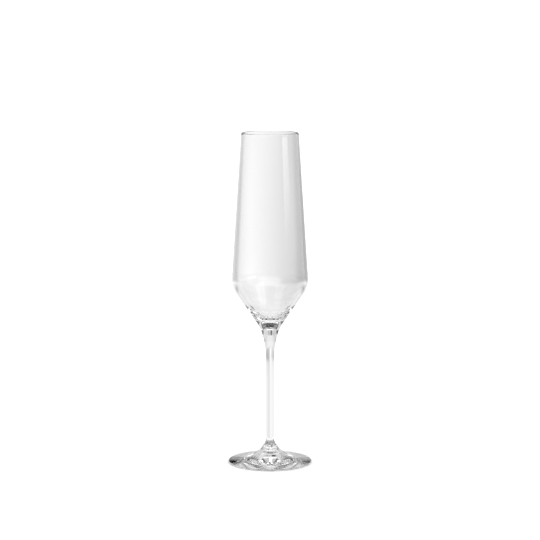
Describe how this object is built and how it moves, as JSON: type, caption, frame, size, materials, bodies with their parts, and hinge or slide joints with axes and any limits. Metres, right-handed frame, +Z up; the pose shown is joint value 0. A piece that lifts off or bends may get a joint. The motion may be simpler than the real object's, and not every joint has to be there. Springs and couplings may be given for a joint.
{
  "type": "champagne flute",
  "caption": "Tall stemmed champagne flute in clear crystal: deep bowl narrowing to the rim above an angled shoulder, slim drawn stem and round foot.",
  "frame": {"origin": "centre of the foot, on the plane that the flute stands on", "axes": "+Z up along the flute's axis, from the foot to the rim; the flute is the same all round, so +X and +Y are free"},
  "size_m": [0.0616, 0.0616, 0.245],
  "materials": {
    "bowl_glass": "clear, polished, thin blown wall",
    "stem_glass": "clear, polished, solid",
    "foot_glass": "clear, polished, solid"
  },
  "bodies": {
    "root": {"bowl": "bowl_glass", "stem": "stem_glass", "foot": "foot_glass"}
  },
  "joints": []
}
